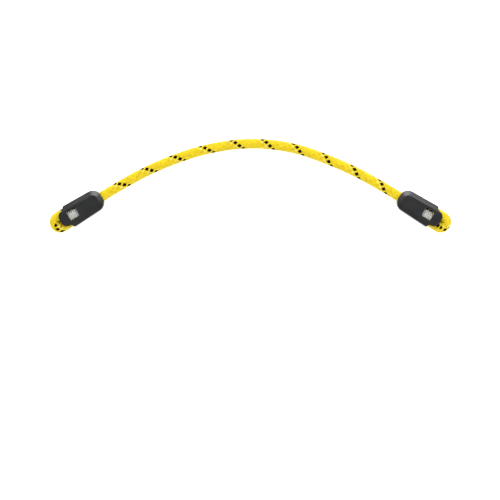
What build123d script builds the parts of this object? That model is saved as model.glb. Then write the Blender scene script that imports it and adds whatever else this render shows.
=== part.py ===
from build123d import *
import math
import os

# A short rope strop lying flat. Each end is folded into a tight sewn eye, and
# a moulded sleeve that slides on the rope covers the seam.
# +X along the strop, +Y towards the bow of the rope, +Z up from the surface.
# All sizes are in millimetres.

# rope
rope_dia = 11.0
sheath_thickness = 1.1
strand_count = 6  # strands round the middle one
strand_dia = 2.9
strand_gap = 0.02

# sleeve, measured from its mouth, where the rope comes out
sleeve_thickness = 17.2
mouth_half_width = 11.7
step_half_width = 13.1
step_at = 41.8
bevel_width = 5.2
bevel_depth = 2.0
mouth_corner_r = 10.0
tongue_nose_at = 52.7
tongue_half_width = 8.3
tongue_root_at = 44.6
tongue_root_half_width = 9.3
tongue_root_r = 4.0
tongue_nose_r = 6.5
window_from = 31.3
window_to = 42.4
window_half_width = 5.1
window_corner_r = 0.8
panel_from = 8.6
panel_to = 27.4
panel_half_width = 4.9
panel_corner_r = 4.5
panel_depth = 0.3
edge_r = 0.7
slide_clearance = 0.25  # sleeve to rope, all round
seam_clearance = 0.35  # sleeve to stitches
neck_length = 3.0
neck_spread = 0.1  # the flare starts as a slot this much off round
pocket_spread = 0.75  # how far each leg's channel moves out towards the tongue
cut_margin = 1.0  # cutters and the blank run this far past what they cut
blank_end = 61.0  # the blank is made longer than the tongue, then cut back

# eye, measured from the same mouth
leg_offset = 5.55  # half the distance between the two sewn legs
bend_in = (7.0, 15.5)  # the load leg swings off the sleeve's axis between these
tail_end_at = 20.5
flare_at = 38.0
fold_half_width = 6.45
fold_centre_at = 53.5
fold_bend_r = 6.1
seal_length = 2.5
seal_end_r = 3.6
seal_round_r = 1.6
seal_inset = 0.1  # the melted end is this much thinner than the rope

# lockstitch seam
thread_dia = 0.8
stitch_pitch = 1.15
stitch_count = 19
first_stitch_at = 22.6
stitch_half_width = 6.6
stitch_lift = 0.45  # thread centre above the legs
stitch_slant = 0.9
thread_gap = 0.5  # half the gap between the two threads inside the rope
stitch_bend_r = 1.0

# route of the free rope, from its joint in the left neck to the one in the right
route_left = [
    (-164.9, -12.9, 8.6),
    (-129.1, 9.0, 8.6),
    (-90.0, 27.1, 6.9),
    (-48.0, 42.4, 5.5),
]
route_apex = (0.0, 47.7, 5.5)
joint_in_neck = 1.5  # the spans' joint, measured from the mouth

rope_r = rope_dia / 2
straight_share = 0.45


def mirrored(points):
    return [(-x, y, z) for x, y, z in reversed(points)]


route = route_left + [route_apex] + mirrored(route_left)

inward = (Vector(*route[1]) - Vector(*route[0])).normalized()
outward = inward * -1
across = Vector(-inward.Y, inward.X, 0)  # towards the outside of the bow
mouth = Vector(*route[0]) + inward * joint_in_neck


def at(along, side):
    """A point in the left sleeve's middle plane, in the model's frame."""
    point = mouth + outward * along + across * side
    return (point.X, point.Y, point.Z)


def corner_radii(points):
    """The widest tangent arc that each corner's two runs leave room for."""
    radii = []
    for before, corner, after in zip(points, points[1:], points[2:]):
        run_in = Vector(*corner) - Vector(*before)
        run_out = Vector(*after) - Vector(*corner)
        half_turn = math.radians(run_in.get_angle(run_out)) / 2
        shorter = min(run_in.length, run_out.length)
        radii.append(straight_share * shorter / math.tan(half_turn))
    return radii


def rope_path(points, radii):
    return FilletPolyline(*points, radius=radii)


def rope_sweep(path, section):
    start = Plane(origin=path @ 0, z_dir=path % 0)
    return sweep(start * section, path=path)


# the eye's centreline from the cut tail, round the fold, to the neck
eye_points = [
    at(tail_end_at, -leg_offset),
    at(flare_at, -leg_offset),
    at(fold_centre_at + fold_half_width, -fold_half_width),
    at(fold_centre_at + fold_half_width, fold_half_width),
    at(flare_at, leg_offset),
    at(bend_in[1], leg_offset),
    at(bend_in[0], 0),
    at(joint_in_neck, 0),
]
eye_radii = corner_radii(eye_points)
eye_radii[1] = fold_bend_r
eye_radii[2] = fold_bend_r
eye_radii[-1] = eye_radii[-2]
route_radii = corner_radii(route)
whole_points = eye_points[:-1] + route[1:-1] + mirrored(eye_points[:-1])
whole_radii = eye_radii + route_radii + eye_radii[::-1]

os.makedirs("parts", exist_ok=True)
written = []


def write(node, shape):
    shape.label = node
    export_step(shape, f"parts/{node}.step")
    written.append(shape)


def write_pair(name, shape):
    """The left end's piece, and its mirror image for the right end."""
    write(f"{name}_left", shape)
    write(f"{name}_right", mirror(shape, about=Plane.YZ))


def sheath_section():
    return Circle(rope_r) - Circle(rope_r - sheath_thickness)


def tail_seal():
    """The melted end of the tail: a short dome over sheath and core."""
    cone = Cone(seal_end_r, rope_r - seal_inset, seal_length)
    cone = fillet(cone.edges().sort_by(Axis.Z)[0], seal_round_r)
    centre = Vector(*at(tail_end_at - seal_length / 2, -leg_offset))
    return Plane(origin=centre, z_dir=outward) * cone


def thread_staples(face):
    """One face's stitches. Each crosses both legs and dips in at either side."""
    top = face * (rope_r + stitch_lift)
    inner = face * thread_gap
    staples = []
    for i in range(stitch_count):
        along = first_stitch_at + i * stitch_pitch
        near = (along, -stitch_half_width)
        far = (along + face * stitch_slant, stitch_half_width)
        low_near = Vector(*at(*near)) + Vector(0, 0, inner)
        high_near = Vector(*at(*near)) + Vector(0, 0, top)
        high_far = Vector(*at(*far)) + Vector(0, 0, top)
        low_far = Vector(*at(*far)) + Vector(0, 0, inner)
        line = FilletPolyline(low_near, high_near, high_far, low_far, radius=stitch_bend_r)
        staples.append(rope_sweep(line, Circle(thread_dia / 2)))
    return Compound(children=staples)


def is_rim(edge):
    """True on the level edges where a bevel meets a face or the side wall."""
    low, high = edge.bounding_box().min.Z, edge.bounding_box().max.Z
    level = 0.01
    return high - low < level < abs(low)


def sleeve_blank():
    """The outer form: a tapering slab with wide bevels on both faces."""
    taper = (step_half_width - mouth_half_width) / step_at
    end_half_width = mouth_half_width + taper * blank_end
    outline = Polygon(
        (0, -mouth_half_width),
        (blank_end, -end_half_width),
        (blank_end, end_half_width),
        (0, mouth_half_width),
        align=None,
    )
    outline = fillet(outline.vertices().group_by(Axis.X)[0], mouth_corner_r)
    middle_half = sleeve_thickness / 2 - bevel_depth
    slope = math.degrees(math.atan(bevel_width / bevel_depth))
    middle = extrude(outline, amount=middle_half, both=True)
    top = extrude(Pos(0, 0, middle_half) * outline, amount=bevel_depth, taper=slope)
    bottom = mirror(top, about=Plane.XY)
    blank = middle + top + bottom
    rims = [edge for edge in blank.edges() if is_rim(edge)]
    return fillet(rims, edge_r)


def outer_end_profile():
    """Plan form that leaves oblique side steps and a blunt tongue."""
    wide = step_half_width + cut_margin
    profile = Polygon(
        (-cut_margin, -wide),
        (step_at, -wide),
        (tongue_root_at, -tongue_root_half_width),
        (tongue_nose_at, -tongue_half_width),
        (tongue_nose_at, tongue_half_width),
        (tongue_root_at, tongue_root_half_width),
        (step_at, wide),
        (-cut_margin, wide),
        align=None,
    )
    profile = fillet(profile.vertices().group_by(Axis.X)[-2], tongue_root_r)
    profile = fillet(profile.vertices().group_by(Axis.X)[-1], tongue_nose_r)
    return extrude(profile, amount=sleeve_thickness, both=True)


def slot_at(along, half_spread, radius):
    """A round-ended section across the sleeve's axis."""
    section = SlotCenterToCenter(2 * half_spread, 2 * radius)
    return Plane(origin=(along, 0, 0), x_dir=(0, 1, 0), z_dir=(1, 0, 0)) * section


def sleeve_cavity():
    """Round neck, flare, then a flat pocket for two legs with room for the seam."""
    bore_r = rope_r + slide_clearance
    from_mouth = (Align.CENTER, Align.CENTER, Align.MIN)
    neck_cut = neck_length + 2 * cut_margin
    neck = Plane.YZ.offset(-cut_margin) * Cylinder(bore_r, neck_cut, align=from_mouth)
    narrow = slot_at(neck_length, neck_spread, bore_r)
    spread = slot_at(bend_in[1], leg_offset, bore_r)
    widest = slot_at(blank_end, leg_offset + pocket_spread, bore_r)
    stitch_edge = thread_dia / 2 + seam_clearance
    seam_from = tail_end_at - cut_margin
    seam_room = Pos((seam_from + blank_end) / 2, 0, 0) * Box(
        blank_end - seam_from,
        2 * (stitch_half_width + stitch_edge),
        2 * (rope_r + stitch_lift + stitch_edge),
    )
    return neck + loft([narrow, spread]) + loft([spread, widest]) + seam_room


def sleeve():
    """One moulded sleeve in its own frame, then set on the left end of the rope."""
    body = sleeve_blank() & outer_end_profile()
    body = body - sleeve_cavity()
    window_length = window_to - window_from
    window = Pos((window_from + window_to) / 2, 0, 0) * extrude(
        RectangleRounded(window_length, 2 * window_half_width, window_corner_r),
        amount=sleeve_thickness,
        both=True,
    )
    body = body - window
    panel_outline = RectangleRounded(panel_to - panel_from, 2 * panel_half_width, panel_corner_r)
    panel = extrude(panel_outline, amount=panel_depth, both=True)
    for face in (1, -1):
        body = body - Pos((panel_from + panel_to) / 2, 0, face * sleeve_thickness / 2) * panel
    return Plane(origin=mouth, x_dir=outward, z_dir=(0, 0, 1)) * body


span_path = rope_path(route, route_radii)
eye_path = rope_path(eye_points, eye_radii)
whole_path = rope_path(whole_points, whole_radii)

write("rope_sheath_span", rope_sweep(span_path, sheath_section()))
write_pair("rope_sheath_eye", rope_sweep(eye_path, sheath_section()))

write("core_strand_1", rope_sweep(whole_path, Circle(strand_dia / 2)))
for i in range(strand_count):
    place = Rot(0, 0, 360 / strand_count * i) * Pos(strand_dia + strand_gap, 0, 0)
    write(f"core_strand_{i + 2}", rope_sweep(whole_path, place * Circle(strand_dia / 2)))

write_pair("tail_seal", tail_seal())
write_pair("needle_thread", thread_staples(1))
write_pair("bobbin_thread", thread_staples(-1))
write_pair("sleeve", sleeve())

print("route radii", [round(r) for r in route_radii])
print("eye radii", [round(r, 1) for r in eye_radii])
print("span length", round(span_path.length, 1), "whole rope", round(whole_path.length, 1))
tube_area = math.pi * (rope_r**2 - (rope_r - sheath_thickness) ** 2)
print("span sheath volume", round(written[0].volume), "from length", round(tube_area * span_path.length))
whole_box = Compound(children=written).bounding_box()
print("box", whole_box.min, whole_box.max)
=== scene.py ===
import math
import bpy
import numpy as np
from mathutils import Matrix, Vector


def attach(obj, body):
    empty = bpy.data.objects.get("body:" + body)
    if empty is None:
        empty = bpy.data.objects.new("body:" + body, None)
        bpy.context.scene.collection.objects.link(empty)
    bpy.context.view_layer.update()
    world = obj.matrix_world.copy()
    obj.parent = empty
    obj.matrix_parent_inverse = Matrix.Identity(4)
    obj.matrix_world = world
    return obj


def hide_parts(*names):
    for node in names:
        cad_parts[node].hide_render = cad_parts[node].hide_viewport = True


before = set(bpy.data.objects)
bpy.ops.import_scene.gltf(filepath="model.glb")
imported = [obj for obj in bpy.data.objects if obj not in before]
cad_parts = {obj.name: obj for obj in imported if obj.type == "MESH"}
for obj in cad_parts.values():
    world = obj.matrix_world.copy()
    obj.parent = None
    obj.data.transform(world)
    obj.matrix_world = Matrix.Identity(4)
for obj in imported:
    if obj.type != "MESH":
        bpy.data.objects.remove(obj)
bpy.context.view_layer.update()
print("frame loaded:", len(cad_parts), "nodes")


# colours and nodes

def hexToLinear(hexColour):
    channels = [int(hexColour[i:i + 2], 16) / 255 for i in (1, 3, 5)]
    linear = [c / 12.92 if c <= 0.04045 else ((c + 0.055) / 1.055) ** 2.4 for c in channels]
    return (*linear, 1.0)


def addNode(tree, kind, settings=None, links=None):
    node = tree.nodes.new(kind)
    for key, value in (settings or {}).items():
        if isinstance(key, int) or key in node.inputs:
            node.inputs[key].default_value = value
        else:
            setattr(node, key, value)
    for key, source in (links or {}).items():
        tree.links.new(source, node.inputs[key])
    return node


def newMaterial(name, settings):
    material = bpy.data.materials.new(name)
    material.use_nodes = True
    shader = material.node_tree.nodes["Principled BSDF"]
    for key, value in settings.items():
        shader.inputs[key].default_value = value
    return material, material.node_tree, shader


def setRamp(ramp, stops):
    elements = ramp.color_ramp.elements
    while len(elements) < len(stops):
        elements.new(0.5)
    for element, (place, hexColour) in zip(elements, stops):
        element.position = place
        element.color = hexToLinear(hexColour)


# camera: straight down, the strop high in a square picture

camera = {
    "lens": 200.0,  # from far off, so that the sleeves are seen almost square-on
    "sensor": 36.0,
    "viewWidth": 0.55,  # what the picture spans at frameHeight
    "frameHeight": 0.012,
    "aimX": -0.0005,
    "aimY": -0.0710,  # well below the strop's middle, as there is empty floor under it
}
cameraData = bpy.data.cameras.new("camera")
cameraData.lens = camera["lens"]
cameraData.sensor_width = camera["sensor"]
cameraObject = bpy.data.objects.new("camera", cameraData)
bpy.context.scene.collection.objects.link(cameraObject)
cameraHeight = camera["viewWidth"] * camera["lens"] / camera["sensor"]
cameraObject.location = (camera["aimX"], camera["aimY"], camera["frameHeight"] + cameraHeight)
bpy.context.scene.camera = cameraObject


# the rope's line

rope = {
    "diameter": 0.011,
    "yarnsEachWay": 16,  # 32 carriers
    "pitch": 0.0339,  # one turn of a sheath yarn
    "relief": 0.00055,  # crown of a yarn above the groove beside it
    "singleShare": 0.6,  # how much of that is each yarn's own crown, and not its pair's
    "cellSteps": 4,  # mesh steps across one yarn
    "tracerYarns": (2, 3),  # the black pair
    "paleYarns": (4, 5),
    "tracerSwell": 1.1,  # mesh steps by which the thicker black yarns push their neighbours aside
    "coreRadius": 0.00445,  # no groove or crease goes deeper than this
}
# given control points; the left side runs a little lower just before the bow's top
routeLeft = [
    (-0.1649, -0.0129, 0.0086),
    (-0.1291, 0.0090, 0.0086),
    (-0.0900, 0.0271, 0.0069),
    (-0.0480, 0.0411, 0.0055),
]
routeRight = [
    (0.0480, 0.0424, 0.0055),
    (0.0900, 0.0271, 0.0069),
    (0.1291, 0.0090, 0.0086),
    (0.1649, -0.0129, 0.0086),
]
route = routeLeft + [(0.0, 0.0477, 0.0055)] + routeRight
jointInNeck = 0.0015  # the span's end lies this far inside the sleeve's mouth
ropeRadius = rope["diameter"] / 2


def splineLine(points):
    # the smooth line that these control points pull into shape
    curve = bpy.data.curves.new("line", "CURVE")
    curve.dimensions = "3D"
    spline = curve.splines.new("NURBS")
    spline.points.add(len(points) - 1)
    for point, place in zip(spline.points, points):
        point.co = (*place, 1.0)
    spline.order_u = 3
    spline.use_endpoint_u = True
    spline.resolution_u = 32
    holder = bpy.data.objects.new("line", curve)
    bpy.context.scene.collection.objects.link(holder)
    bpy.context.view_layer.update()
    mesh = bpy.data.meshes.new_from_object(holder)
    line = np.array([v.co for v in mesh.vertices], float)
    bpy.data.objects.remove(holder)
    bpy.data.curves.remove(curve)
    bpy.data.meshes.remove(mesh)
    return line


inward = Vector(route[1]) - Vector(route[0])
inward.normalize()
across = Vector((-inward.y, inward.x, 0))
mouth = Vector(route[0]) + inward * jointInNeck


def leftEnd(along, side, height=0.0):
    # a place by the left sleeve: along from its mouth to the eye, side to the outside of the bow
    return mouth - inward * along + across * side + Vector((0, 0, height))


eye = {
    "legOffset": 0.00555,
    "tailEnd": 0.0205,
    "bendIn": (0.0070, 0.0155),
    "flareAt": 0.0380,
    "foldRadius": 0.00645,
    "foldCentre": 0.0535,
    "bunching": 0.00106,  # the sheath fills out on the inside of the fold, until the two legs touch
    "bulgeReach": 0.0195,  # how far along the rope from the fold that fades
    "pressed": 0.00035,  # the seam pulls the two legs against each other
    "tracerSwell": 0.6,
    "paintedShadeShare": 0.6,  # of a crease's half width, painted with the black yarn's colour as the shade in the crease
}

# how the sheath has crept along and turned round the core: distance from the joint, creep, turns
sheathLay = {
    "left": [(0.0, 0.0, 0.0), (0.034, -0.0007, -0.18), (0.046, -0.0009, 0.0), (0.0635, 0.0006, -0.31),
             (0.068, -0.0002, -0.26), (0.072, -0.0013, -0.23), (0.095, 0.0, -0.23)],
    "right": [(0.0, 0.0, 0.0), (0.0345, -0.0014, 0.34), (0.039, -0.0019, 0.21), (0.060, 0.0036, 0.31),
              (0.0645, 0.0022, 0.31), (0.0685, 0.0008, 0.33), (0.073, 0.0006, 0.21), (0.095, 0.0, 0.20)],
}


# creases in the sheath by the fold; the black yarn's colour painted along each one's middle stands for the
# shade in it
# each runs between two places: distance past the fold's outermost point, angle in from the top
foldCreases = {
    "left": [
        {"from": (-0.0036, 1.5), "to": (-0.0050, 0.50), "depth": 0.0010, "halfWidth": 0.0009},
        {"from": (0.0110, 0.75), "to": (0.0072, -0.05), "depth": 0.0009, "halfWidth": 0.0007},
    ],
    "right": [
        {"from": (-0.0012, 1.5), "to": (-0.0016, 0.55), "depth": 0.0010, "halfWidth": 0.0008},
    ],
}


def eyePoints():
    # from the cut tail, round the fold in four equal turns, and back to the neck
    leg, radius, centre = eye["legOffset"], eye["foldRadius"], eye["foldCentre"]
    shoulder = radius * math.tan(math.pi / 8)
    places = [
        (eye["tailEnd"], -leg),
        (0.030, -leg),
        (eye["flareAt"], -leg),
        (0.047, -radius + 0.0002),
        (centre + shoulder, -radius),
        (centre + radius, -shoulder),
        (centre + radius, shoulder),
        (centre + shoulder, radius),
        (0.047, radius - 0.0002),
        (eye["flareAt"], leg),
        (0.025, leg),
        (eye["bendIn"][1], leg),
        (eye["bendIn"][0], 0.0),
        (jointInNeck, 0.0),
    ]
    return [tuple(leftEnd(along, side)) for along, side in places]


def mirrorLine(line):
    # the other end's line, walked the other way
    turned = line[::-1].copy()
    turned[:, 0] *= -1
    return turned


def lineLength(line):
    return float(np.linalg.norm(np.diff(line, axis=0), axis=1).sum())


spanLine = splineLine(route)
leftEyeLine = splineLine(eyePoints())
rightEyeLine = mirrorLine(leftEyeLine)
spanLength = lineLength(spanLine)
eyeLength = lineLength(leftEyeLine)
farthest = int(np.argmin(leftEyeLine @ np.array(inward)))
foldFromTail = lineLength(leftEyeLine[:farthest + 1])
print("free rope", round(spanLength, 4), "m, each eye", round(eyeLength, 4), "m")


def frameAlong(line, distances):
    # centre, tangent, upward normal and binormal at each distance from the line's start
    steps = np.linalg.norm(np.diff(line, axis=0), axis=1)
    at = np.concatenate([[0], np.cumsum(steps)])
    nudge = 0.0004
    inside = np.clip(distances, 0, at[-1])

    def place(d):
        return np.stack([np.interp(d, at, line[:, k]) for k in range(3)], axis=-1)

    centre = place(inside)
    tangent = place(np.clip(inside + nudge, 0, at[-1])) - place(np.clip(inside - nudge, 0, at[-1]))
    tangent /= np.linalg.norm(tangent, axis=-1, keepdims=True)
    centre += tangent * (distances - inside)[..., None]
    up = np.array([0.0, 0.0, 1.0])
    normal = up - tangent * (tangent @ up)[..., None]
    normal /= np.linalg.norm(normal, axis=-1, keepdims=True)
    return centre, tangent, normal, np.cross(tangent, normal)


def eyeShape(hand):
    # one eye's creep and twist by distance from its joint, and by angle too its swell and the crease
    # middles painted dark as shade
    foldAt = float(eyeLength - foldFromTail)
    creases = foldCreases[hand]
    lay = np.array(sheathLay[hand])

    def creep(fromJoint):
        return np.interp(fromJoint, lay[:, 0], lay[:, 1])

    def twist(fromJoint):
        return 2 * math.pi * np.interp(fromJoint, lay[:, 0], lay[:, 2])

    def awayFromCrease(crease, fromJoint, angle):
        # distance over the sheath's surface to one crease's line
        start = np.array([crease["from"][0], crease["from"][1] * ropeRadius])
        run = np.array([crease["to"][0], crease["to"][1] * ropeRadius]) - start
        turned = (angle + math.pi) % (2 * math.pi) - math.pi
        dx, dy = fromJoint - foldAt - start[0], turned * ropeRadius - start[1]
        share = np.clip((dx * run[0] + dy * run[1]) / (run @ run), 0, 1)
        return np.hypot(dx - share * run[0], dy - share * run[1])

    def swell(fromJoint, angle):
        inner = np.clip(np.sin(angle), 0, 1)
        bunch = eye["bunching"] * np.exp(-((fromJoint - foldAt) / eye["bulgeReach"]) ** 4)
        sewn = np.where(fromJoint > eye["bendIn"][1], eye["pressed"], 0.0)
        change = np.maximum(bunch, sewn) * inner ** 2
        for crease in creases:
            away = awayFromCrease(crease, fromJoint, angle)
            change = change - crease["depth"] * np.exp(-(away / crease["halfWidth"]) ** 2)
        return change

    # the faces along each crease's middle, which get the black yarn's material as painted shade
    def paintedCreaseShade(fromJoint, angle):
        inside = []
        for crease in creases:
            reach = crease["halfWidth"] * eye["paintedShadeShare"]
            inside.append(awayFromCrease(crease, fromJoint, angle) < reach)
        return np.any(inside, axis=0)

    return creep, twist, swell, paintedCreaseShade


# the braided sheath: pairs of yarns, each pair over one pair and under the next

rowStep = rope["pitch"] / (2 * rope["yarnsEachWay"] * rope["cellSteps"])
spanRows = round(spanLength / rowStep)
eyeRows = round(eyeLength / rowStep)


def pairCrown(index, f):
    # across a float: two round yarns, the groove between them shallower than the ones outside
    single = (1 - (2 * f - 1) ** 2) ** 0.6
    both = (1 - ((index % 2) + f - 1) ** 2) ** 0.6
    share = rope["singleShare"]
    return share * single + (1 - share) * both


def floatRise(t):
    # along a float: up from under one pair, flat, and down under the next
    return (1 - (2 * t - 1) ** 4) ** 0.7


def tracerShift(a, b, amount):
    # the black pair is fuller: its edges move out by the swell, and the push fades over the next pair
    steps, columns = rope["cellSteps"], rope["yarnsEachWay"] * rope["cellSteps"]
    pairMiddle = (min(rope["tracerYarns"]) + 1) * steps
    fromMiddle = (a - pairMiddle + columns / 2) % columns - columns / 2
    reach = np.abs(fromMiddle) / steps
    push = np.clip(np.minimum(reach, (3 - reach) / 2), 0, 1) * np.sign(fromMiddle)
    fullness = np.clip((3 - reach) / 2, 0, 1)
    alongFloat = np.sin(math.pi * (b - pairMiddle) / (2 * steps))
    return amount * push, amount * fullness * alongFloat


def braid(name, line, firstRow, lastRow, lineStartRow, materials, shape=None, fromEnd=False):
    count, steps = rope["yarnsEachWay"], rope["cellSteps"]
    columns = count * steps
    rows = np.arange(firstRow, lastRow + 1)
    stretch = lineLength(line) / (round(lineLength(line) / rowStep) * rowStep)
    distance = (rows - lineStartRow) * rowStep * stretch
    a = np.arange(columns)[None, :] + np.zeros((len(rows), 1), int)
    b = a + rows[:, None]
    fromJoint = lineLength(line) - distance if fromEnd else distance
    if shape:
        creep, twist, swell, paintedCreaseShade = shape
        swells = (rope["tracerSwell"], eye["tracerSwell"])
        fullness = np.interp(fromJoint, (0.0, eye["flareAt"]), swells)[:, None]
        distance = distance + creep(fromJoint) * (-1 if fromEnd else 1)
    else:
        fullness = rope["tracerSwell"]
    shiftA, shiftB = tracerShift(a, b, fullness)
    distance = distance[:, None] + (shiftB - shiftA) * rowStep
    centre, tangent, normal, side = frameAlong(line, distance)
    angle = math.pi * (a + shiftA + b + shiftB) / columns
    if shape:
        angle = angle + twist(fromJoint)[:, None]
        fromJoint = lineLength(line) - distance if fromEnd else distance
    i, j = a // steps, b // steps
    fa, fb = (a % steps) / steps, (b % steps) / steps
    rightOver = (i // 2 + j // 2) % 2 == 0
    height = np.where(
        rightOver,
        pairCrown(i, fa) * floatRise((j % 2 + fb) / 2),
        pairCrown(j, fb) * floatRise((i % 2 + fa) / 2),
    )
    radius = ropeRadius - rope["relief"] * (1 - height)
    if shape:
        radius = np.maximum(radius + swell(fromJoint, angle), rope["coreRadius"])
    offset = normal * np.cos(angle)[..., None] + side * np.sin(angle)[..., None]
    points = (centre + offset * radius[..., None]).reshape(-1, 3)

    # one face per lattice step, along the two yarn directions
    r = np.arange(1, len(rows) - 1)[:, None]
    c = np.arange(columns)[None, :]
    faceA = c + 0 * r
    nextA = (faceA + 1) % columns
    corners = [
        r * columns + faceA,
        (r - 1) * columns + nextA,
        r * columns + nextA,
        (r + 1) * columns + faceA,
    ]
    faces = np.stack([k.reshape(-1) for k in corners], axis=1)
    faceB = faceA + rows[1:-1, None]
    fi, fj = faceA // steps, faceB // steps
    over = ((fi // 2 + fj // 2) % 2 == 0).reshape(-1)
    yarn = np.where(over, (fi % count).reshape(-1), count + (fj % count).reshape(-1))
    slot = np.zeros(len(yarn), int)
    slot[np.isin(yarn, rope["tracerYarns"])] = 1
    slot[np.isin(yarn, rope["paleYarns"])] = 2
    if shape:
        # painted shade: the middle of each crease takes the black yarn's material
        slot[paintedCreaseShade(fromJoint, angle)[1:-1].reshape(-1)] = 1

    mesh = bpy.data.meshes.new(name)
    mesh.from_pydata(points.tolist(), [], faces.tolist())
    for material in materials:
        mesh.materials.append(material)
    mesh.polygons.foreach_set("material_index", slot.astype(np.int32))
    mesh.polygons.foreach_set("use_smooth", np.ones(len(slot), bool))

    # texture places in millimetres: u along the yarn on top, v across it
    cell = math.pi * rope["diameter"] * 1000 / count / math.sqrt(2) / steps
    cornerA = np.stack([faceA, faceA + 1, faceA + 1, faceA], axis=-1).reshape(-1) * cell
    cornerB = np.stack([faceB, faceB, faceB + 1, faceB + 1], axis=-1).reshape(-1) * cell
    overCorner = np.repeat(over, 4)
    uv = np.stack([np.where(overCorner, cornerB, cornerA), np.where(overCorner, cornerA, cornerB)], axis=1)
    layer = mesh.uv_layers.new(name="yarn")
    layer.data.foreach_set("uv", uv.astype(np.float32).reshape(-1))

    # each yarn took the dye a little differently
    tones = np.random.default_rng(11).random(2 * count)
    tone = mesh.attributes.new("yarnTone", "FLOAT", "FACE")
    tone.data.foreach_set("value", tones[yarn].astype(np.float32))
    mesh.update()
    piece = bpy.data.objects.new(name, mesh)
    bpy.context.scene.collection.objects.link(piece)
    return piece


# materials

def braidedPolyester(name, dark, main, light, roughness, specular, sheen):
    # solution-dyed polyester yarn, twisted and braided: a soft satin with fine lines along each yarn
    # its patterns are laid out in millimetres of yarn
    material, tree, shader = newMaterial(name, {
        "Roughness": roughness,
        "IOR": 1.53,
        "Specular IOR Level": specular,
        "Sheen Weight": sheen,
        "Sheen Roughness": 0.4,
    })
    uv = addNode(tree, "ShaderNodeUVMap", {"uv_map": "yarn"})
    tone = addNode(tree, "ShaderNodeAttribute", {"attribute_name": "yarnTone"})
    place = addNode(tree, "ShaderNodeTexCoord")
    patches = addNode(tree, "ShaderNodeTexNoise", {"Scale": 260.0, "Detail": 3.0},
                      {"Vector": place.outputs["Object"]})
    blend = addNode(tree, "ShaderNodeMath", {"operation": "MULTIPLY_ADD", 1: 0.45, 2: -0.22},
                    {0: tone.outputs["Fac"]})
    shade = addNode(tree, "ShaderNodeMath", {"operation": "ADD"},
                    {0: blend.outputs[0], 1: patches.outputs["Fac"]})
    ramp = addNode(tree, "ShaderNodeValToRGB", None, {"Fac": shade.outputs[0]})
    setRamp(ramp, [(0.22, dark), (0.5, main), (0.78, light)])
    tree.links.new(ramp.outputs["Color"], shader.inputs["Base Color"])
    # plies 1 mm apart lie at a slant to the yarn, and bands 0.25 mm apart run along it
    # real filaments are a tenth of that, too fine to show
    slant = addNode(tree, "ShaderNodeMapping", {"Rotation": (0, 0, math.radians(24))},
                    {"Vector": uv.outputs["UV"]})
    plies = addNode(tree, "ShaderNodeTexWave",
                    {"bands_direction": "Y", "Scale": 2.0 / 6.3, "Distortion": 0.6, "Detail": 1.0},
                    {"Vector": slant.outputs["Vector"]})
    filaments = addNode(tree, "ShaderNodeTexWave",
                        {"bands_direction": "Y", "Scale": 8.0 / 6.3, "Distortion": 1.5, "Detail": 2.0},
                        {"Vector": uv.outputs["UV"]})
    both = addNode(tree, "ShaderNodeMath", {"operation": "MULTIPLY_ADD", 1: 0.35},
                   {0: filaments.outputs["Fac"], 2: plies.outputs["Fac"]})
    bump = addNode(tree, "ShaderNodeBump", {"Strength": 0.6, "Distance": 0.00012},
                   {"Height": both.outputs[0]})
    tree.links.new(bump.outputs["Normal"], shader.inputs["Normal"])
    return material


def bondedThread():
    # bonded polyester sewing thread, light grey: smooth, slightly waxy, mottled about every millimetre
    material, tree, shader = newMaterial("bondedPolyesterThread", {"Roughness": 0.42, "IOR": 1.53})
    place = addNode(tree, "ShaderNodeTexCoord")
    noise = addNode(tree, "ShaderNodeTexNoise", {"Scale": 900.0, "Detail": 3.0},
                    {"Vector": place.outputs["Object"]})
    ramp = addNode(tree, "ShaderNodeValToRGB", None, {"Fac": noise.outputs["Fac"]})
    setRamp(ramp, [(0.3, "#B4B5B1"), (0.7, "#CDCECA")])
    tree.links.new(ramp.outputs["Color"], shader.inputs["Base Color"])
    bump = addNode(tree, "ShaderNodeBump", {"Strength": 0.3, "Distance": 0.00006},
                   {"Height": noise.outputs["Fac"]})
    tree.links.new(bump.outputs["Normal"], shader.inputs["Normal"])
    return material


def twistedPolyamide():
    # undyed polyamide core yarn: off-white, silky, with the yarn's twist as bands 2.3 mm apart
    material, tree, shader = newMaterial("twistedPolyamideCore", {"Roughness": 0.5, "IOR": 1.53})
    place = addNode(tree, "ShaderNodeTexCoord")
    wave = addNode(tree, "ShaderNodeTexWave",
                   {"bands_direction": "DIAGONAL", "Scale": 160.0, "Distortion": 1.0},
                   {"Vector": place.outputs["Object"]})
    ramp = addNode(tree, "ShaderNodeValToRGB", None, {"Fac": wave.outputs["Fac"]})
    setRamp(ramp, [(0.0, "#D9D6CC"), (1.0, "#F2F0E8")])
    tree.links.new(ramp.outputs["Color"], shader.inputs["Base Color"])
    bump = addNode(tree, "ShaderNodeBump", {"Strength": 0.5, "Distance": 0.0002},
                   {"Height": wave.outputs["Fac"]})
    tree.links.new(bump.outputs["Normal"], shader.inputs["Normal"])
    return material


def meltedEnd():
    # sheath and core melted together by a hot knife: darker, glassy, with lumps of about 3 mm
    material, tree, shader = newMaterial("meltedPolyesterEnd", {"Roughness": 0.3, "IOR": 1.57})
    place = addNode(tree, "ShaderNodeTexCoord")
    noise = addNode(tree, "ShaderNodeTexNoise", {"Scale": 350.0, "Detail": 4.0},
                    {"Vector": place.outputs["Object"]})
    ramp = addNode(tree, "ShaderNodeValToRGB", None, {"Fac": noise.outputs["Fac"]})
    setRamp(ramp, [(0.3, "#8C6A12"), (0.65, "#D9B62A")])
    tree.links.new(ramp.outputs["Color"], shader.inputs["Base Color"])
    bump = addNode(tree, "ShaderNodeBump", {"Strength": 0.8, "Distance": 0.0004},
                   {"Height": noise.outputs["Fac"]})
    tree.links.new(bump.outputs["Normal"], shader.inputs["Normal"])
    return material


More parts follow.
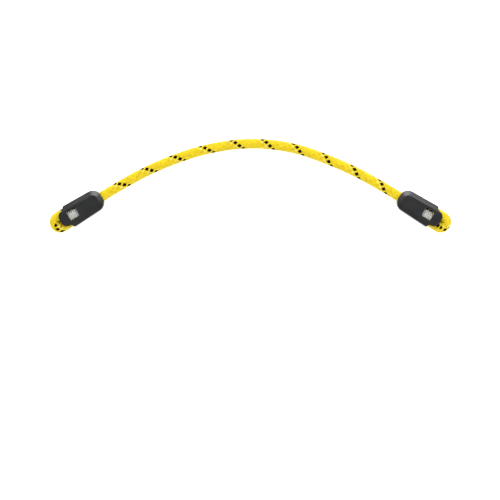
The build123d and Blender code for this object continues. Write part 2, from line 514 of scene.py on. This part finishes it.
def mouldedPolyurethane():
    # black thermoplastic polyurethane, moulded in a spark-eroded tool: a fine even grain, semi-matt
    # the grain is 0.4 mm here, coarser than the real one, so that it shows
    material, tree, shader = newMaterial("mouldedPolyurethane", {"IOR": 1.5, "Specular IOR Level": 0.62})
    place = addNode(tree, "ShaderNodeTexCoord")
    grain = addNode(tree, "ShaderNodeTexVoronoi", {"Scale": 2600.0}, {"Vector": place.outputs["Object"]})
    handling = addNode(tree, "ShaderNodeTexNoise", {"Scale": 90.0, "Detail": 4.0},
                       {"Vector": place.outputs["Object"]})
    ramp = addNode(tree, "ShaderNodeValToRGB", None, {"Fac": handling.outputs["Fac"]})
    setRamp(ramp, [(0.3, "#0E0F11"), (0.7, "#161719")])
    tree.links.new(ramp.outputs["Color"], shader.inputs["Base Color"])
    rough = addNode(tree, "ShaderNodeMapRange", {"To Min": 0.28, "To Max": 0.37},
                    {"Value": handling.outputs["Fac"]})
    tree.links.new(rough.outputs["Result"], shader.inputs["Roughness"])
    bump = addNode(tree, "ShaderNodeBump", {"Strength": 0.25, "Distance": 0.00008},
                   {"Height": grain.outputs["Distance"]})
    tree.links.new(bump.outputs["Normal"], shader.inputs["Normal"])
    return material


yellowYarn = braidedPolyester("yellowBraidedPolyester", "#CBB004", "#DCC108", "#E6CD10", 0.55, 0.22, 0.12)
# this material also paints the shade along the middle of the eyes' creases
blackYarnAndCreaseShade = braidedPolyester("blackTracerAndCreaseShadePolyester", "#080400", "#0E0600", "#150900", 0.75, 0.06, 0.0)
paleYarn = braidedPolyester("paleTracerPolyester", "#D2C24E", "#DFD25F", "#E6DA70", 0.55, 0.22, 0.12)
threadMaterial = bondedThread()
coreMaterial = twistedPolyamide()
meltedMaterial = meltedEnd()
sleeveMaterial = mouldedPolyurethane()
sheathMaterials = [yellowYarn, blackYarnAndCreaseShade, paleYarn]


# rope pieces

spanPiece = braid("braidedSpan", spanLine, 0, spanRows, 0, sheathMaterials)
leftEyePiece = braid("braidedEyeLeft", leftEyeLine, -eyeRows, 1, -eyeRows, sheathMaterials,
                     eyeShape("left"), fromEnd=True)
rightEyePiece = braid("braidedEyeRight", rightEyeLine, spanRows - 1, spanRows + eyeRows, spanRows,
                      sheathMaterials, eyeShape("right"))
for piece, node in ((spanPiece, "rope_sheath_span"), (leftEyePiece, "rope_sheath_eye_left"),
                    (rightEyePiece, "rope_sheath_eye_right")):
    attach(piece, "rope")
    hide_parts(node)
print("rope braided:", sum(len(p.data.polygons) for p in (spanPiece, leftEyePiece, rightEyePiece)), "faces")


# the core: parallel strands inside the sheath, from one cut end to the other

core = {
    "strands": 6,  # round the middle one
    "strandDiameter": 0.00285,
    "spacing": 0.00292,
    "plies": 3,
    "plyPitch": 0.016,
    "lobe": 0.08,  # how far the plies stand out, as a share of the radius
    "ringStep": 0.0015,
    "ringSides": 12,
}
coreLine = np.concatenate([leftEyeLine, spanLine[1:], rightEyeLine[1:]])


def tubeMesh(name, rings, material):
    # joins open tubes, each a grid of ring points, into one mesh
    faces, total = [], 0
    for ring in rings:
        count, sides = ring.shape[:2]
        row = np.arange(count - 1)[:, None] * sides
        c = np.arange(sides)[None, :]
        d = (c + 1) % sides
        quads = np.stack([row + c, row + d, row + sides + d, row + sides + c], axis=-1).reshape(-1, 4)
        faces += (quads + total).tolist()
        faces += [list(range(total + sides - 1, total - 1, -1))]
        faces += [list(range(total + (count - 1) * sides, total + count * sides))]
        total += count * sides
    mesh = bpy.data.meshes.new(name)
    mesh.from_pydata(np.concatenate([ring.reshape(-1, 3) for ring in rings]).tolist(), [], faces)
    mesh.materials.append(material)
    mesh.polygons.foreach_set("use_smooth", np.ones(len(faces), bool))
    mesh.update()
    piece = bpy.data.objects.new(name, mesh)
    bpy.context.scene.collection.objects.link(piece)
    return piece


def pliedRings(centre, normal, side, distance, yarn, radius):
    # rings round a line, with one lobe for each ply, winding as the line goes
    turn = np.linspace(0, 2 * math.pi, yarn["ringSides"], endpoint=False)
    lobes = np.cos(yarn["plies"] * turn[None, :] - 2 * math.pi * distance[:, None] / yarn["plyPitch"])
    size = radius * (1 - yarn["lobe"] + yarn["lobe"] * lobes)
    return (centre[:, None, :] + normal[:, None, :] * (np.cos(turn) * size)[..., None]
            + side[:, None, :] * (np.sin(turn) * size)[..., None])


def coreStrand(number):
    distance = np.arange(0, lineLength(coreLine), core["ringStep"])
    centre, tangent, normal, side = frameAlong(coreLine, distance)
    place = 2 * math.pi * (number - 2) / core["strands"]
    spacing = core["spacing"] if number > 1 else 0.0
    centre = centre + (normal * math.cos(place) + side * math.sin(place)) * spacing
    ring = pliedRings(centre, normal, side, distance, core, core["strandDiameter"] / 2)
    return tubeMesh(f"coreStrand{number}", [ring], coreMaterial)


for number in range(1, core["strands"] + 2):
    piece = coreStrand(number)
    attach(piece, "rope")
    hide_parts(f"core_strand_{number}")
print("core laid")


# lockstitch seams

seam = {
    "firstAt": 0.0262,
    "pitch": 0.00115,  # a zigzag: the holes along one side are two of these apart
    "stitches": 19,
    "reach": 0.0066,  # the needle holes on the inside of the bow, from the middle
    "outerReach": {"left": 0.0048, "right": 0.0036},  # and on its outside
    "wander": 0.00015,  # along the seam, as no machine places every hole alike
    "edgeWander": 0.0005,  # and across it
    "lean": 0.0036,  # how much nearer to the mouth a stitch comes on its way out
    "lift": 0.0003,
    "threadDiameter": 0.00132,
    "plies": 3,
    "plyPitch": 0.0021,
    "lobe": 0.1,
    "ringStep": 0.00034,
    "ringSides": 9,
}


def threadTube(path, radius):
    # rings of one thread along its path
    path = np.array(path, float)
    steps = np.linalg.norm(np.diff(path, axis=0), axis=1)
    at = np.concatenate([[0], np.cumsum(steps)])
    count = max(4, round(at[-1] / seam["ringStep"]))
    d = np.linspace(0, at[-1], count)
    centre = np.stack([np.interp(d, at, path[:, k]) for k in range(3)], axis=1)
    tangent = np.gradient(centre, axis=0)
    tangent /= np.linalg.norm(tangent, axis=1)[:, None]
    reference = np.array(inward.to_tuple())
    normal = reference - tangent * (tangent @ reference)[:, None]
    normal /= np.linalg.norm(normal, axis=1)[:, None]
    side = np.cross(tangent, normal)
    return pliedRings(centre, normal, side, d, seam, radius)


def stitchPath(near, far, lift, face, outerReach):
    # up from one needle hole, over both legs and down the other hole
    width = seam["reach"] + outerReach
    top = ropeRadius + lift
    # one half of the arch, from the hole to the middle: share of the half width, height
    shape = [
        (-1.0, 0.55 * top),
        (-1.0, 0.86 * top),
        (-0.93, 0.97 * top),
        (-0.8, top + 0.00012),
        (-0.5, top + 0.0001),
        (0.0, top - 0.0001),
    ]
    shape += [(-share, height) for share, height in reversed(shape[:-1])]
    places = []
    for share, height in shape:
        along = near + (far - near) * (share + 1) / 2
        places.append(leftEnd(along, (share + 1) / 2 * width - seam["reach"], face * height))
    return places


def smoothed(path, passes=2):
    # cuts the corners, twice as fine each time
    for step in range(passes):
        cut = [path[0]]
        for p, q in zip(path, path[1:]):
            cut += [p * 0.75 + q * 0.25, p * 0.25 + q * 0.75]
        path = cut + [path[-1]]
    return path


def seamThread(name, face, sign, outerReach):
    rings = []
    chance = np.random.default_rng(5 if face > 0 else 6)
    wander, edgeWander = seam["wander"], seam["edgeWander"]
    for k in range(seam["stitches"]):
        inner = seam["firstAt"] + seam["pitch"] * 2 * ((k + 1) // 2) + chance.uniform(-wander, wander)
        outer = seam["firstAt"] + seam["pitch"] * (2 * (k // 2) + 1) + chance.uniform(-wander, wander)
        reach = outerReach + chance.uniform(-edgeWander, edgeWander)
        path = smoothed(stitchPath(inner, outer - seam["lean"], seam["lift"], face, reach))
        ring = threadTube(path, seam["threadDiameter"] / 2)
        if sign < 0:
            ring = ring[:, ::-1] * np.array([-1, 1, 1])
        rings.append(ring)
    return tubeMesh(name, rings, threadMaterial)


for sign, hand in ((1, "left"), (-1, "right")):
    for face, kind in ((1, "needle"), (-1, "bobbin")):
        piece = seamThread(f"{kind}Thread{hand.capitalize()}", face, sign, seam["outerReach"][hand])
        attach(piece, "rope")
        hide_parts(f"{kind}_thread_{hand}")
print("seams sewn")


# finishes on the pieces that keep their own shape

def finishNode(node, material):
    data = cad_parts[node].data
    data.materials.clear()
    data.materials.append(material)


sleeveEdges = {
    "radius": 0.0004,  # moulded edges are never sharp
    "segments": 2,
    "angle": 50,  # degrees; shallower edges stay as they are
}


def softenEdges(node):
    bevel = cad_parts[node].modifiers.new("mouldedEdges", "BEVEL")
    bevel.width = sleeveEdges["radius"]
    bevel.segments = sleeveEdges["segments"]
    bevel.limit_method = "ANGLE"
    bevel.angle_limit = math.radians(sleeveEdges["angle"])
    bevel.harden_normals = True


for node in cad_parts:
    if node.startswith("tail_seal"):
        finishNode(node, meltedMaterial)
    elif node.startswith("sleeve"):
        finishNode(node, sleeveMaterial)
        softenEdges(node)
print("finishes set")


# floor and light

studio = {
    "floorSize": 6.0,
    "floorColour": "#F4F4F4",
    "skyColour": "#FFFFFF",
    "skyStrength": 0.28,
    "tableGlow": 0.66,  # the floor is a sheet of opal acrylic lit from below, which takes the shadows away
    # name, place, size, power
    "lights": [
        ("keyLight", (0.09, 1.16, 1.34), 1.5, 33.0),
        ("fillLight", (0.1, -1.8, 0.52), 1.4, 23.0),
        ("leftLight", (-1.7, 0.2, 0.8), 1.4, 12.0),
        ("rightLight", (1.7, 0.2, 0.8), 1.4, 12.0),
    ],
}


def floorAndBackdrop():
    half = studio["floorSize"] / 2
    mesh = bpy.data.meshes.new("studioFloor")
    corners = [(-half, -half, 0), (half, -half, 0), (half, half, 0), (-half, half, 0)]
    mesh.from_pydata(corners, [], [(0, 1, 2, 3)])
    floor = bpy.data.objects.new("studioFloor", mesh)
    bpy.context.scene.collection.objects.link(floor)
    material, tree, shader = newMaterial("opalAcrylicTable", {
        "Roughness": 0.9,
        "Emission Color": hexToLinear(studio["skyColour"]),
        "Emission Strength": studio["tableGlow"],
    })
    place = addNode(tree, "ShaderNodeTexCoord")
    noise = addNode(tree, "ShaderNodeTexNoise", {"Scale": 4.0}, {"Vector": place.outputs["Object"]})
    ramp = addNode(tree, "ShaderNodeValToRGB", None, {"Fac": noise.outputs["Fac"]})
    setRamp(ramp, [(0.0, "#F3F3F3"), (1.0, studio["floorColour"])])
    tree.links.new(ramp.outputs["Color"], shader.inputs["Base Color"])
    mesh.materials.append(material)


def softLight(name, place, size, power):
    # a round lamp aimed at the strop
    light = bpy.data.lights.new(name, "AREA")
    light.shape = "DISK"
    light.size = size
    light.energy = power
    lamp = bpy.data.objects.new(name, light)
    lamp.location = place
    lamp.rotation_mode = "QUATERNION"
    lamp.rotation_quaternion = (-Vector(place)).to_track_quat("-Z", "Y")
    bpy.context.scene.collection.objects.link(lamp)


floorAndBackdrop()
world = bpy.data.worlds.new("studioSky")
world.use_nodes = True
world.node_tree.nodes["Background"].inputs["Color"].default_value = hexToLinear(studio["skyColour"])
world.node_tree.nodes["Background"].inputs["Strength"].default_value = studio["skyStrength"]
bpy.context.scene.world = world
for lamp in studio["lights"]:
    softLight(*lamp)
bpy.context.scene.view_settings.view_transform = "Standard"
print("studio lit")
